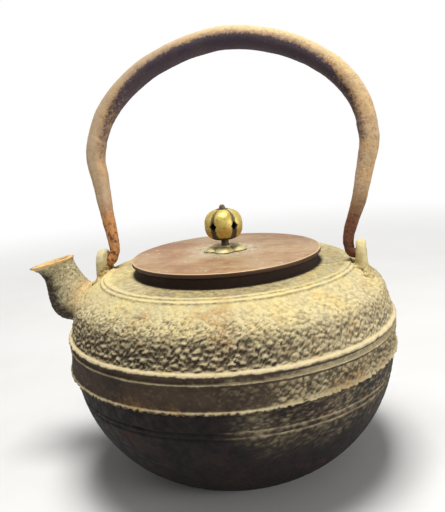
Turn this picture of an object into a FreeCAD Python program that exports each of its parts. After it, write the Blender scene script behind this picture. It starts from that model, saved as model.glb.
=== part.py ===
"""Iron water kettle: cast body in two halves, spout, ears, forged bail, copper lid, brass knob.

Millimetres. +Z is up, the origin is the centre of the flat base, the spout points along -X,
and the bail hinges about an axis along X through the two ears.
"""
import FreeCAD, Part
import math
import os

from FreeCAD import Vector

# Upper body: casting from the ragged skirt up to the mouth
belt_radius = 78.3
belt_z = 72.0
belt_ridge = 1.2
thin_belt_drop = 3.7
thin_belt_ridge = 0.7
skirt_flare = 1.6
skirt_depth = 15.3
shoulder_radius = 59.4
shoulder_rise = 25.4
shoulder_slope_deg = 36.0
shoulder_arm = 21.9
flank_lean_deg = 14.5
flank_arm = 20.9
shoulder_line_ridge = 0.55
shoulder_line_gap = 2.1
collar_radius = 44.4
collar_height = 4.9
mouth_radius = 40.8
body_wall = 3.4

# Lower bowl: set into the skirt from below
skirt_overhang = 1.9
base_radius = 40.0
bowl_bulge = 9.8
bowl_wall = 3.6
socket_inset = 1.7
spigot_height = 6.0
spigot_wall = 2.4
spigot_clearance = 0.1
bowl_line_drop = 9.7
bowl_line_gap = 2.6
bowl_line_ridge = 0.5

# Spout: flared tube between a lower and an upper edge curve, places given out from the belt and up from it
spout_mouth_out, spout_mouth_up = 16.1, 29.9
spout_mouth_radius = 11.2
spout_mouth_tilt_deg = 13.0
spout_heel_out, spout_heel_up = -6.3, -1.5
spout_belly_out, spout_belly_up = 32.7, -4.5
spout_chin_out, spout_chin_up = 9.7, 20.0
spout_crook_out, spout_crook_up = -18.3, 12.0
spout_bend_out, spout_bend_up = -2.8, 13.0
spout_nape_out, spout_nape_up = 1.7, 23.7
spout_sections = 7
spout_wall = 2.3

# Ears: lugs that carry the bail
ear_out = 5.2
ear_top_thickness = 4.2
ear_foot_thickness = 6.8
ear_width = 13.0
ear_foot_width = 15.5
ear_foot_depth = 13.0
ear_edge_round = 0.9
pivot_rise = 3.8

# Bail: forged handle, thick in the arch, thin at its pegs, heights from the hinge axis
bail_lean_deg = 18.0
bail_half_span = 69.6
bail_spring_height = 58.0
bail_height = 111.0
bail_haunch_draw = 1.4
bail_arch_thickness = 11.6
bail_arch_depth = 10.8
bail_leg_thickness = 9.6
bail_leg_depth = 9.0
bail_foot_thickness = 4.6
bail_foot_height = 8.0
bail_elbow_radius = 2.5
bail_ear_gap = 0.3
peg_radius = 2.0
peg_clearance = 0.1

# Lid: copper plate with a ring that drops into the mouth
lid_overhang = 1.4
lid_thickness = 2.0
lid_crown = 0.8
lid_edge_round = 0.5
lid_ring_depth = 6.5
lid_ring_wall = 1.3
lid_ring_clearance = 0.4

# Knob: five-lobed openwork shell that turns on a riveted pin
lobe_count = 5
lobe_turn_deg = -4.0
lobe_offset = 4.4
lobe_radius = 4.9
lobe_half_height = 7.7
knob_hollow_radius = 6.4
knob_hollow_half_height = 5.8
knob_boss_radius = 3.1
knob_boss_inset = 0.9
window_width = 3.0
stem_radius = 2.1
stem_waist_radius = 1.8
stem_height = 3.2
petal_turn_deg = -10.0
petal_offset = 5.9
petal_radius = 5.1
petal_height = 2.4
petal_heart_radius = 3.4
pin_radius = 1.2
pin_clearance = 0.08
pole_deg = 80.0
pin_head_radius = 2.5
pin_head_brim = 0.8
pin_head_height = 2.7
pin_button_radius = 1.5
pin_button_flat = 0.5
pin_tail_radius = 2.2
pin_tail_height = 0.8
washer_radius = 4.2
washer_thickness = 1.0
end_play = 0.1

# Places that follow from the sizes above
skirt_z = belt_z - skirt_depth
skirt_radius = belt_radius + skirt_flare
bowl_rim_radius = skirt_radius - skirt_overhang
socket_radius = bowl_rim_radius - socket_inset
spigot_radius = socket_radius - spigot_clearance
spigot_z = skirt_z + spigot_height
shoulder_z = belt_z + shoulder_rise
mouth_z = shoulder_z + collar_height
pivot_z = shoulder_z + pivot_rise
ear_x = shoulder_radius + ear_out
ear_top_z = pivot_z + ear_width / 2
ear_foot_z = pivot_z - ear_foot_depth
ear_taper = (ear_foot_thickness - ear_top_thickness) / (ear_top_z - ear_foot_z)
ear_face_x = ear_x - (ear_top_thickness + ear_taper * ear_width / 2) / 2
bail_foot_x = ear_face_x - bail_ear_gap - bail_elbow_radius
lid_edge_z = mouth_z + lid_thickness
lid_top_z = lid_edge_z + lid_crown
seat_z = lid_top_z + petal_height
knob_low_z = seat_z + end_play + stem_height
knob_z = knob_low_z + lobe_half_height - knob_boss_inset
knob_high_z = knob_z + lobe_half_height - knob_boss_inset
washer_z = mouth_z - washer_thickness
up = Vector(0, 0, 1)


def at(r, z):
    """A point of a half profile, at radius r and height z."""
    return Vector(r, 0, z)


def aim(angle_deg):
    """A unit vector in the XZ plane, at an angle up from +X."""
    angle = math.radians(angle_deg)
    return at(math.cos(angle), math.sin(angle))


def polygon(*points):
    """The straight edges that join the points in turn."""
    return [Part.LineSegment(a, b).toShape() for a, b in zip(points, points[1:])]


def spin(edges, axis_x=0.0):
    """The solid that a closed half profile sweeps about an upright axis."""
    face = Part.Face(Part.Wire(Part.__sortEdges__(edges)))
    return face.revolve(Vector(axis_x, 0, 0), up, 360)


def disc(radius, low_z, high_z):
    return Part.makeCylinder(radius, high_z - low_z, Vector(0, 0, low_z))


def rod(radius, x0, x1):
    """A round bar along the bail's hinge axis."""
    return Part.makeCylinder(radius, x1 - x0, Vector(x0, 0, pivot_z), Vector(1, 0, 0))


def ridge(radius, z, size):
    """A ring that stands half proud of a wall."""
    return Part.makeTorus(radius, size, Vector(0, 0, z))


def oval(centre, u, v, first_deg=0.0, last_deg=360.0):
    """An ellipse with the half axes u and v, counted from the end of u."""
    n = u.cross(v).normalize()
    frame = FreeCAD.Matrix(u.x, v.x, n.x, centre.x, u.y, v.y, n.y, centre.y, u.z, v.z, n.z, centre.z)
    return Part.makeCircle(1.0, Vector(), up, first_deg, last_deg).transformGeometry(frame)


def spheroid(radius, half_height, x, z):
    """A round body, flattened or drawn out along Z, with a small flat at each pole."""
    side = oval(Vector(x, 0, z), Vector(-radius, 0, 0), Vector(0, 0, half_height), -pole_deg, pole_deg)
    flat_x = x - radius * aim(pole_deg).x
    flat_rise = half_height * aim(pole_deg).z
    low, high = at(flat_x, z - flat_rise), at(flat_x, z + flat_rise)
    return spin(side.Edges + polygon(low, at(x, low.z), at(x, high.z), high), x)


def turned_copies(shape, count, first_deg):
    """Copies of a shape turned about Z in equal steps."""
    copies = [shape.copy() for index in range(count)]
    for index, copy in enumerate(copies):
        copy.rotate(Vector(), up, first_deg + index * 360.0 / count)
    return copies


def shoulder_curve(inset):
    """The curve from the shoulder's rim to the belt, moved inwards: its two ends and its edge."""
    rim = at(shoulder_radius - inset / 2, shoulder_z - inset)
    hip = at(belt_radius - inset, belt_z)
    curve = Part.BezierCurve()
    curve.setPoles([rim, rim + aim(-shoulder_slope_deg) * (shoulder_arm - inset),
                    hip + aim(90 + flank_lean_deg) * (flank_arm - inset), hip])
    return rim, hip, curve.toShape()


def upper_body_block():
    """The upper body with its belts and lines, not yet hollow."""
    rim, hip, curve = shoulder_curve(0.0)
    block = spin([curve] + polygon(hip, at(skirt_radius, skirt_z), at(0, skirt_z), at(0, mouth_z),
                                   at(collar_radius, mouth_z), at(collar_radius, shoulder_z), rim))
    second_line = rim + aim(-shoulder_slope_deg) * shoulder_line_gap
    rings = [ridge(belt_radius, belt_z, belt_ridge),
             ridge(belt_radius, belt_z - thin_belt_drop, thin_belt_ridge),
             ridge(rim.x, rim.z, shoulder_line_ridge),
             ridge(second_line.x, second_line.z, shoulder_line_ridge)]
    return block.fuse(rings)


def upper_body_hollow():
    """The room inside the upper body, with its mouth and the socket for the bowl."""
    rim, hip, curve = shoulder_curve(body_wall)
    return spin([curve] + polygon(hip, at(socket_radius, spigot_z), at(socket_radius, skirt_z), at(0, skirt_z),
                                  at(0, mouth_z), at(mouth_radius, mouth_z), at(mouth_radius, rim.z), rim))


def bowl_arc(inset):
    """The bowl's wall moved inwards: its rim, its foot and the arc between them."""
    rim, foot = at(bowl_rim_radius, skirt_z), at(base_radius, 0)
    chord = foot - rim
    outward = Vector(-chord.z, 0, chord.x).normalize()
    middle = (rim + foot) * 0.5 + outward * bowl_bulge
    centre = Part.Arc(rim, middle, foot).toShape().Curve.Center
    points = [p + (centre - p).normalize() * inset for p in (rim, middle, foot)]
    return points[0], points[2], Part.Arc(*points).toShape()


def lower_bowl():
    """The bowl with its flat base, faint double line and the spigot that stands in the skirt."""
    rim, foot, wall = bowl_arc(0.0)
    block = spin([wall] + polygon(rim, at(spigot_radius, skirt_z), at(spigot_radius, spigot_z),
                                  at(0, spigot_z), at(0, 0), foot))
    circle = wall.Curve
    lines = []
    for drop in (bowl_line_drop, bowl_line_drop + bowl_line_gap):
        z = skirt_z - drop
        radius = circle.Center.x + math.sqrt(circle.Radius ** 2 - (z - circle.Center.z) ** 2)
        lines.append(ridge(radius, z, bowl_line_ridge))
    inner_rim, inner_foot, inner_wall = bowl_arc(bowl_wall)
    spigot_bore = spigot_radius - spigot_wall
    room = spin([inner_wall] + polygon(inner_rim, at(spigot_bore, skirt_z), at(spigot_bore, spigot_z),
                                       at(0, spigot_z), at(0, inner_foot.z), inner_foot))
    return block.fuse(lines).cut(room)


def spout_place(out, rise):
    """A point of the spout's middle plane, out from the belt and up from it."""
    return at(-belt_radius - out, belt_z + rise)


def spout_form(inset):
    """The spout's flared form moved inwards by the inset: circles strung between its two edge curves."""
    mouth = spout_place(spout_mouth_out, spout_mouth_up)
    across = aim(spout_mouth_tilt_deg) * spout_mouth_radius
    lower, upper = Part.BezierCurve(), Part.BezierCurve()
    lower.setPoles([spout_place(spout_heel_out, spout_heel_up), spout_place(spout_belly_out, spout_belly_up),
                    spout_place(spout_chin_out, spout_chin_up), mouth - across])
    upper.setPoles([spout_place(spout_crook_out, spout_crook_up), spout_place(spout_bend_out, spout_bend_up),
                    spout_place(spout_nape_out, spout_nape_up), mouth + across])
    circles = []
    for step in range(spout_sections):
        low, high = (curve.value(step / (spout_sections - 1)) for curve in (lower, upper))
        axis = (low - high).cross(Vector(0, 1, 0))
        circles.append(Part.Wire(Part.makeCircle((high - low).Length / 2 - inset, (low + high) / 2, axis)))
    return Part.makeLoft(circles, True)


def spout_bore():
    """The way through the spout, run on past its mouth."""
    mouth = spout_place(spout_mouth_out, spout_mouth_up)
    past = Part.makeCylinder(spout_mouth_radius - spout_wall, spout_wall, mouth, aim(90 + spout_mouth_tilt_deg))
    return spout_form(spout_wall).fuse(past)


def ear(side, block):
    """A lug, round-topped about the hinge axis and thinner upwards, seated on the shoulder."""
    half, foot_half = ear_width / 2, ear_foot_width / 2
    near, far = Vector(0, -half, pivot_z), Vector(0, half, pivot_z)
    crown = Part.Arc(near, Vector(0, 0, ear_top_z), far).toShape()
    sides = polygon(far, Vector(0, foot_half, ear_foot_z), Vector(0, -foot_half, ear_foot_z), near)
    front = Part.Face(Part.Wire([crown] + sides))
    front.translate(Vector(side * ear_x - ear_foot_thickness, 0, 0))
    slab = front.extrude(Vector(2 * ear_foot_thickness, 0, 0))
    top_z = ear_top_z + ear_edge_round
    top, foot = (ear_top_thickness - ear_taper * ear_edge_round) / 2, ear_foot_thickness / 2
    corners = [Vector(side * ear_x + x, -ear_foot_width, z)
               for x, z in ((-foot, ear_foot_z), (foot, ear_foot_z), (top, top_z), (-top, top_z))]
    wedge = Part.Face(Part.makePolygon(corners + corners[:1])).extrude(Vector(0, 2 * ear_foot_width, 0))
    lug = slab.common(wedge)
    rims = [edge for edge in lug.Edges if edge.BoundBox.YLength > half and edge.BoundBox.ZMax > pivot_z]
    lug = lug.makeFillet(ear_edge_round, rims)
    bore = rod(peg_radius + peg_clearance, side * ear_x - ear_foot_thickness, side * ear_x + ear_foot_thickness)
    return lug.cut(bore).cut(block)


def bail_half():
    """Sections of one leg and half the arch, as centre, direction across, thickness and depth."""
    foot, spring = at(bail_foot_x, bail_foot_height), at(bail_half_span, bail_spring_height)
    leg_deg = math.degrees(math.atan2(spring.z - foot.z, spring.x - foot.x)) - 90
    sections = [(at(bail_foot_x, bail_elbow_radius), 0.0, bail_foot_thickness, bail_foot_thickness),
                (foot, leg_deg / 2, bail_foot_thickness, bail_foot_thickness)]
    for share in (0.35, 0.7, 1.0):
        thickness = bail_foot_thickness + (bail_leg_thickness - bail_foot_thickness) * share
        depth = bail_foot_thickness + (bail_leg_depth - bail_foot_thickness) * share
        sections.append((foot + (spring - foot) * share, leg_deg * (1.3 - share), thickness, depth))
    rise = bail_height - bail_spring_height
    for turn_deg in (22.5, 45.0, 67.5):
        turn = aim(turn_deg)
        share = 1 - (1 - turn.z) ** 2
        thickness = bail_leg_thickness + (bail_arch_thickness - bail_leg_thickness) * share
        depth = bail_leg_depth + (bail_arch_depth - bail_leg_depth) * share
        across_deg = math.degrees(math.atan2(turn.z * bail_half_span, turn.x * rise))
        drawn = aim(across_deg) * (bail_haunch_draw * math.sin(2 * math.radians(turn_deg)))
        centre = at(bail_half_span * turn.x, bail_spring_height + rise * turn.z) - drawn
        sections.append((centre, across_deg, thickness, depth))
    return sections


def bail():
    """The bail: an arch on two legs whose feet turn outwards into pegs, leaning as it stands."""
    right = bail_half()
    left = [(at(-c.x, c.z), 180 - deg, thickness, depth) for c, deg, thickness, depth in right]
    top = (at(0, bail_height), 90.0, bail_arch_thickness, bail_arch_depth)
    wires = []
    for centre, across_deg, thickness, depth in right + [top] + left[::-1]:
        place = centre + Vector(0, 0, pivot_z)
        wires.append(Part.Wire(oval(place, aim(across_deg) * (thickness / 2), Vector(0, depth / 2, 0)).Edges))
    solid = Part.makeLoft(wires, True)
    for side in (-1, 1):
        start = Vector(side * bail_foot_x, 0, pivot_z + bail_elbow_radius)
        centre = start + Vector(side * bail_elbow_radius, 0, 0)
        section = Part.Face(Part.Wire(Part.makeCircle(bail_foot_thickness / 2, start, up)))
        elbow = section.revolve(centre, Vector(0, -side, 0), 90)
        ends = sorted((side * (bail_foot_x + bail_elbow_radius), side * (ear_x + ear_top_thickness / 4)))
        solid = solid.fuse([elbow, rod(peg_radius, *ends)])
    solid.rotate(Vector(0, 0, pivot_z), Vector(1, 0, 0), -bail_lean_deg)
    return solid


def lid_block():
    """The lid's plate, slightly crowned, with a softened edge."""
    radius = collar_radius + lid_overhang
    low, edge = at(radius, mouth_z), at(radius, lid_edge_z)
    half = at(radius / 2, lid_edge_z + lid_crown * 0.75)
    crown = Part.Arc(edge, half, at(0, lid_top_z)).toShape()
    plate = spin([crown] + polygon(at(0, lid_top_z), at(0, mouth_z), low, edge))
    rims = [e for e in plate.Edges if e.BoundBox.ZMin > mouth_z and e.BoundBox.XLength > radius]
    return plate.makeFillet(lid_edge_round, rims)


def lid_ring():
    """The ring under the lid that keeps it in the mouth."""
    radius = mouth_radius - lid_ring_clearance
    low_z = mouth_z - lid_ring_depth
    return disc(radius, low_z, mouth_z).cut(disc(radius - lid_ring_wall, low_z, mouth_z))


def knob_seat(plate):
    """The flower of domed petals under the knob, flat at its heart."""
    petal = spheroid(petal_radius, seat_z - lid_edge_z, petal_offset, lid_edge_z)
    petal = petal.common(disc(petal_offset + petal_radius, lid_edge_z, seat_z))
    heart = disc(petal_heart_radius, lid_edge_z, seat_z)
    flower = heart.fuse(turned_copies(petal, lobe_count, petal_turn_deg))
    return flower.cut(plate).cut(disc(pin_radius + pin_clearance, lid_edge_z, seat_z))


def knob_stem():
    """The waisted spacer between the flower and the shell."""
    low_z = seat_z + end_play
    bore = pin_radius + pin_clearance
    waist = Part.Arc(at(stem_radius, low_z), at(stem_waist_radius, low_z + stem_height / 2),
                     at(stem_radius, knob_low_z)).toShape()
    return spin([waist] + polygon(at(stem_radius, knob_low_z), at(bore, knob_low_z), at(bore, low_z),
                                  at(stem_radius, low_z)))


def knob_shell():
    """The hollow shell: lobes round an axis, a diamond window in each groove between them."""
    lobe = spheroid(lobe_radius, lobe_half_height, lobe_offset, knob_z)
    shell = disc(knob_boss_radius, knob_low_z, knob_high_z)
    shell = shell.fuse(turned_copies(lobe, lobe_count, lobe_turn_deg))
    for end_z in (knob_z - lobe_half_height, knob_high_z):
        shell = shell.cut(disc(knob_boss_radius, end_z, end_z + knob_boss_inset))
    shell = shell.cut(spheroid(knob_hollow_radius, knob_hollow_half_height, 0.0, knob_z))
    shell = shell.cut(disc(pin_radius + pin_clearance, knob_low_z, knob_high_z))
    half = window_width / 2
    diamond = [Vector(0, half, knob_z), Vector(0, 0, knob_z + half), Vector(0, -half, knob_z),
               Vector(0, 0, knob_z - half), Vector(0, half, knob_z)]
    window = Part.Face(Part.makePolygon(diamond)).extrude(Vector(lobe_offset + lobe_radius, 0, 0))
    return shell.cut(turned_copies(window, lobe_count, lobe_turn_deg + 180.0 / lobe_count))


def knob_pin():
    """The rivet through knob, flower and lid, with a brimmed button on top and a spread tail."""
    head_z = knob_high_z + end_play
    tail_z = washer_z - pin_tail_height
    brim_z, top_z = head_z + pin_head_brim, head_z + pin_head_height
    across, rise = at(pin_button_radius - pin_button_flat, 0), at(0, top_z - brim_z)
    crown = oval(at(pin_button_flat, brim_z), across, rise, 0.0, 90.0)
    return spin(crown.Edges + polygon(at(pin_button_flat, top_z), at(0, top_z), at(0, tail_z),
                                      at(pin_tail_radius, tail_z), at(pin_tail_radius, washer_z),
                                      at(pin_radius, washer_z), at(pin_radius, head_z),
                                      at(pin_head_radius, head_z), at(pin_head_radius, brim_z),
                                      at(pin_button_radius, brim_z)))


body_block = upper_body_block()
spout_way = spout_bore()
plate_block = lid_block()
pin_bore = disc(pin_radius + pin_clearance, washer_z, lid_top_z)
nodes = {
    "upper_body": body_block.cut(upper_body_hollow()).cut(spout_way),
    "lower_bowl": lower_bowl(),
    "spout": spout_form(0.0).cut(spout_way).cut(body_block),
    "front_ear": ear(-1, body_block),
    "rear_ear": ear(1, body_block),
    "bail": bail(),
    "lid_plate": plate_block.cut(pin_bore),
    "lid_ring": lid_ring(),
    "rivet_washer": disc(washer_radius, washer_z, mouth_z).cut(pin_bore),
    "knob_seat": knob_seat(plate_block),
    "knob_stem": knob_stem(),
    "knob_shell": knob_shell(),
    "knob_pin": knob_pin(),
}
os.makedirs("parts", exist_ok=True)
for name, shape in nodes.items():
    shape.exportStep("parts/" + name + ".step")
    print(name, "solids", len(shape.Solids), "valid", shape.isValid(), "volume", round(shape.Volume, 1))
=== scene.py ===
import math

import bpy
import numpy as np
from mathutils import Matrix, Vector, noise

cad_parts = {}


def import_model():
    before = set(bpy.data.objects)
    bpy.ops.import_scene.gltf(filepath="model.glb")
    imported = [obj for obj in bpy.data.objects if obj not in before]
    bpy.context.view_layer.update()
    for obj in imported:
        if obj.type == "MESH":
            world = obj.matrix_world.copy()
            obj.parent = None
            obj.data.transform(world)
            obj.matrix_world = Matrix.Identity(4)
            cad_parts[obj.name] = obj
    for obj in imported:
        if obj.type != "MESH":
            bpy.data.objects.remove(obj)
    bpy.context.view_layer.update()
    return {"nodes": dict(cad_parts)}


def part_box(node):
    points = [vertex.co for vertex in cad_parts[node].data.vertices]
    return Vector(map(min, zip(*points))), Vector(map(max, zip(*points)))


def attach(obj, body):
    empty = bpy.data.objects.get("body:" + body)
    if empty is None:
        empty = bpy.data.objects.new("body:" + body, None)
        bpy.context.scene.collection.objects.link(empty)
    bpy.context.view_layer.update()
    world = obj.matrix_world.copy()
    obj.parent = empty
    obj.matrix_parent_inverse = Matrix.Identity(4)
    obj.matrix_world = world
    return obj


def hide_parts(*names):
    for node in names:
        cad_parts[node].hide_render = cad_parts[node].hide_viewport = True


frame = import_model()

MM = 0.001
BAKE_MAP = "OFBake"
curve_points = 200

# One seed for the noise that warps the pebbles, so that every run gives the same skin
noise_seed = 1
noise.seed_set(noise_seed)

# Upper body
belt_radius, belt_z, belt_ridge = 78.3, 72.0, 1.2
thin_belt_z, thin_belt_ridge = 68.3, 0.7
skirt_radius, skirt_z = 79.9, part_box("upper_body")[0].z / MM
shoulder_radius, shoulder_z, shoulder_slope = 59.4, 97.4, math.radians(36.0)
shoulder_arm, flank_arm, flank_lean = 21.9, 20.9, math.radians(14.5)
line_ridge, line_width, line_gap = 0.42, 0.75, 2.1
collar_radius, mouth_radius = 44.4, 40.8
mouth_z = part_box("upper_body")[1].z / MM
body_wall = 3.4
socket_radius, socket_z = 76.3, 62.7
body_columns = 620
way_rows, way_columns, way_slack = 60, 48, 0.05
pebble_rise, coarse_rise = 0.6, 1.15
fine_pebble, coarse_pebble = 1.9, 2.9
rough_azimuth = math.radians(-25.0)
# Gain of dust and painted light on the lumps' up-facing sides, and depth of the skirt's wear on the rough
# side
facet_dust_and_light, skirt_wear = 1.25, 1.1
grit_cell, grit_wander, grit_warp, grit_lift = 1.9, 1.6, 1.1, 0.5

# Lower bowl
bowl_rim_radius, base_radius, bowl_bulge, bowl_wall = 78.0, 40.0, 9.8, 3.6
spigot_radius, spigot_bore, spigot_z = 76.2, 73.8, 62.7
bowl_lines, bowl_line_depth = (47.0, 44.4), 0.65
bowl_columns = 360
hub_radius, fine_rows_z, rows_overlap = 0.6, 43.0, 0.2

# Spout: poles of its lower and upper edge curves, from inside the body to its lip
spout_mouth, spout_mouth_radius, spout_mouth_tilt = np.array([-94.4, 101.9]), 11.2, math.radians(13.0)
spout_heel, spout_belly, spout_chin = (-72.0, 70.5), (-111.0, 67.5), (-88.0, 92.0)
spout_crook, spout_bend, spout_nape = (-60.0, 84.0), (-75.5, 85.0), (-80.0, 95.7)
spout_wall, spout_lead = 2.3, 14.0
spout_columns, spout_rows, trial_rows = 96, 80, 400
root_flare, root_depth = 4.5, 1.6
spout_root = np.array([-70.0, 0.0, 90.0])

# Ears
ear_x, pivot_z, ear_top_z, ear_foot_depth = 64.6, 101.2, 107.7, 13.0
ear_thickness, ear_foot_thickness, ear_width, ear_foot_width = 4.2, 6.8, 13.0, 15.5
ear_flare, ear_depth, bore_radius = 2.6, 1.4, 2.1
ear_crown, ear_power = 1.6, 0.55
ear_columns, ear_rows, bore_columns = 72, 60, 48

# Bail, heights from its hinge axis
bail_lean = math.radians(18.0)
bail_half_span, bail_spring, bail_height, haunch_draw = 69.6, 58.0, 111.0, 1.4
arch_size, leg_size, foot_size = (11.6, 10.8), (9.6, 9.0), (4.6, 4.6)
foot_x, foot_height, elbow_radius = 59.27, 8.0, 2.5
peg_radius, peg_end_x = 2.0, 65.65
bail_columns, bail_step, bail_trial = 56, 0.8, 900
left_leg_bow, right_leg_bow, spring_step = 0.7, 1.9, 0.45

# Lid
lid_radius, lid_edge_z, lid_crown, lid_edge_round = 45.8, 104.3, 0.8, 0.25
lid_bore, lid_bevel = 1.28, 0.3
halo_edge, halo_core = 23.5, 10.5
lid_columns = 240

# Knob
lobe_count, lobe_turn, lobe_offset, lobe_radius, lobe_half_height = 5, math.radians(-4.0), 3.0, 6.3, 7.6
knob_low_z, knob_z, knob_squareness, knob_boss_radius, knob_bore = 110.8, 117.6, 2.6, 3.1, 1.28
knob_hollow = (6.4, 5.8)
window_half_width, window_half_height = 1.9, 2.4
knob_columns, knob_rows = 200, 60

# Camera, floor and light, in metres, radians and watts, but the lens in millimetres
camera_place, camera_lens = Vector((0.0757, -0.3013, 0.1685)), 45.7
camera_heading, camera_pitch, camera_roll = math.radians(14.44), 0.211, 0.089
floor_half, floor_fade = 20.0, (0.3, 0.9)
world_level, white = 0.2, (1.0, 1.0, 1.0, 1.0)
lamp_aim = Vector((0.0, 0.0, 0.08))

# Place, size and power of each lamp
lamps = {"overhead": ((0.0, 0.0, 1.17), 0.45, 14.8), "side_fill": ((1.3, -0.45, 0.3), 0.6, 8.0)}

# Sockets of a node that mixes colours: share, first and second colour, and result
mix_inputs, mix_result = (0, 6, 7), 2


def smooth(low, high, value):
    """0 below low, 1 above high, and a smooth step between them."""
    t = np.clip((value - low) / (high - low), 0.0, 1.0)
    return t * t * (3 - 2 * t)


def direction(angle):
    """The unit vector at an angle in a plane, or those at many angles."""
    return np.stack([np.cos(angle), np.sin(angle)], -1)


def ring(count):
    """Evenly spaced angles, once round."""
    return np.linspace(0, 2 * math.pi, count, endpoint=False)


def unit(vectors):
    """The vectors of the last axis at length 1."""
    return vectors / np.linalg.norm(vectors, axis=-1, keepdims=True)


def powered(values, power):
    """Values raised to a power, their signs kept."""
    return np.sign(values) * np.abs(values) ** power


def sampled(function, points, size, seed):
    """A noise function at points in millimetres, with features about size across."""
    shift = Vector((1.7 * seed, -2.3 * seed, 0.9 * seed))
    values = [function(Vector(p) + shift) for p in points.reshape(-1, 3) / size]
    return np.array(values).reshape(points.shape[:-1])


def mottle(points, size, seed, octaves=3):
    """Cloudy noise, mostly within -1 to 1."""
    return sampled(lambda p: noise.fractal(p, 1.0, 2.0, octaves), points, size, seed)


def pebble(p):
    """A pebbled skin: 0 in its creases and about 1 on top of its lumps."""
    p = p + 0.35 * noise.noise_vector(p * 0.7) + 0.22 * noise.noise_vector(p * 1.9)
    near, places = noise.voronoi(p)
    lump = 0.8 + 0.4 * noise.noise(places[0] * 5.1)
    crease = min(1.0, (near[1] - near[0]) / 0.62)
    return lump * crease * (2 - crease)


def pit(p):
    """Small round pits, 1 in the middle of a pit and 0 around it."""
    near, places = noise.voronoi(p)
    return max(0.0, 1 - near[0] / 0.38) if noise.noise(places[0] * 3.7) > 0.1 else 0.0


def bezier(a, b, c, d, t):
    """The cubic curve with poles a to d, at places t from 0 to 1."""
    t = np.asarray(t)[:, None]
    return (1 - t) ** 3 * a + 3 * (1 - t) ** 2 * t * b + 3 * (1 - t) * t ** 2 * c + t ** 3 * d


def spline(knots, t):
    """A smooth curve through the knots, which are rows of numbers, at places t that count knots."""
    knots = np.asarray(knots, float)
    padded = np.vstack([2 * knots[0] - knots[1], knots, 2 * knots[-1] - knots[-2]])
    i = np.minimum(np.asarray(t).astype(int), len(knots) - 2)
    u = (np.asarray(t) - i)[:, None]
    a, b, c, d = (padded[i + k] for k in range(4))
    return 0.5 * (2 * b + (c - a) * u + (2 * a - 5 * b + 4 * c - d) * u ** 2
                  + (3 * b - a - 3 * c + d) * u ** 3)


def lengths_along(points):
    """How far along a polyline each of its points lies."""
    return np.concatenate([[0], np.cumsum(np.linalg.norm(np.diff(points, axis=0), axis=1))])


def spaced(points, step):
    """Points along a polyline, about step apart, both ends kept."""
    points = np.asarray(points, float)
    along = lengths_along(points)
    places = np.linspace(0, along[-1], max(2, int(round(along[-1] / step)) + 1))
    return np.stack([np.interp(places, along, points[:, k]) for k in range(points.shape[1])], 1)


def joined(*stretches):
    """Stretches of a profile in one run, the first point of each but the first left out."""
    return np.vstack([stretches[0]] + [s[1:] for s in stretches[1:]])


def section(start, *stretches):
    """A profile from its start. A stretch is a spacing and the places that it leads through."""
    runs = [np.array([start], float)]
    for spacing, *places in stretches:
        runs.append(spaced(np.vstack([runs[-1][-1:], *places]), spacing)[1:])
    return np.vstack(runs)


def swept(radius, z, columns):
    """Radii and heights z turned about Z."""
    angles = ring(columns)
    return np.stack(np.broadcast_arrays(radius * np.cos(angles), radius * np.sin(angles), z), -1)


def turned(profile, columns):
    """Points of a profile of (radius, z) turned about Z, and the direction to its left at each."""
    tangent = unit(np.gradient(profile, axis=0))
    place = swept(profile[:, :1], profile[:, 1:], columns)
    return place, swept(-tangent[:, 1:], tangent[:, :1], columns)


def raw_normals(points):
    """Directions square to a grid whose columns close on themselves, and whether they point inwards."""
    around = np.roll(points, -1, 1) - np.roll(points, 1, 1)
    normal = np.cross(around, np.gradient(points, axis=0))
    return normal, ((points - points.mean((0, 1))) * normal).sum() < 0


def grid_normals(points):
    """Outward unit directions at a grid of points."""
    normal, turned_in = raw_normals(points)
    return unit(-normal if turned_in else normal)


def lay_out(mesh, points, row, column):
    """A map for baking: a grid's columns across and its rows up, in the proportion of their lengths."""
    along = lengths_along(np.vstack([points[:, 0], points[:1, 0]]))
    around = np.linalg.norm(np.diff(points, axis=1, append=points[:, :1]), axis=2).sum(1).max()
    u = np.stack([column, column + 1, column + 1, column], -1) / points.shape[1]
    v = along[np.stack([row, row, row + 1, row + 1], -1)]
    layout = np.stack([u * around, v], -1).reshape(-1, 2) / max(around, along[-1])
    layout = np.vstack([layout, np.zeros((len(mesh.loops) - len(layout), 2))])
    mesh.uv_layers.new(name=BAKE_MAP).data.foreach_set("uv", layout.astype(np.float32).ravel())


def add_object(name, data):
    """A new object in the scene."""
    made = bpy.data.objects.new(name, data)
    bpy.context.scene.collection.objects.link(made)
    return made


def mesh_object(name, points, closed_rows=False, marks=None):
    """A mesh from a grid of points in millimetres whose columns close on themselves.

    Its rows close too, or else its first and last rows are capped. Marks are values for each point."""
    shape = rows, columns = points.shape[:2]
    marks = {mark: np.broadcast_to(values, shape) for mark, values in (marks or {}).items()}
    if raw_normals(points)[1]:
        points = points[:, ::-1]
        marks = {mark: values[:, ::-1] for mark, values in marks.items()}
    bands = rows if closed_rows else rows - 1
    row, column = np.meshgrid(np.arange(bands), np.arange(columns), indexing="ij")
    next_row, next_column = (row + 1) % rows, (column + 1) % columns
    corners = ((row, column), (row, next_column), (next_row, next_column), (next_row, column))
    faces = np.stack([r * columns + c for r, c in corners], -1).reshape(-1, 4).tolist()
    if not closed_rows:
        faces += [list(range(columns))[::-1], list(range((rows - 1) * columns, rows * columns))]
    mesh = bpy.data.meshes.new(name)
    mesh.from_pydata((points.reshape(-1, 3) * MM).tolist(), [], faces)
    for mark, values in marks.items():
        attribute = mesh.attributes.new(mark, "FLOAT", "POINT")
        attribute.data.foreach_set("value", values.astype(np.float32).ravel())
    lay_out(mesh, points, row, column)
    mesh.polygons.foreach_set("use_smooth", np.ones(len(mesh.polygons), bool))
    mesh.update()
    return add_object(name, mesh)


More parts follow.
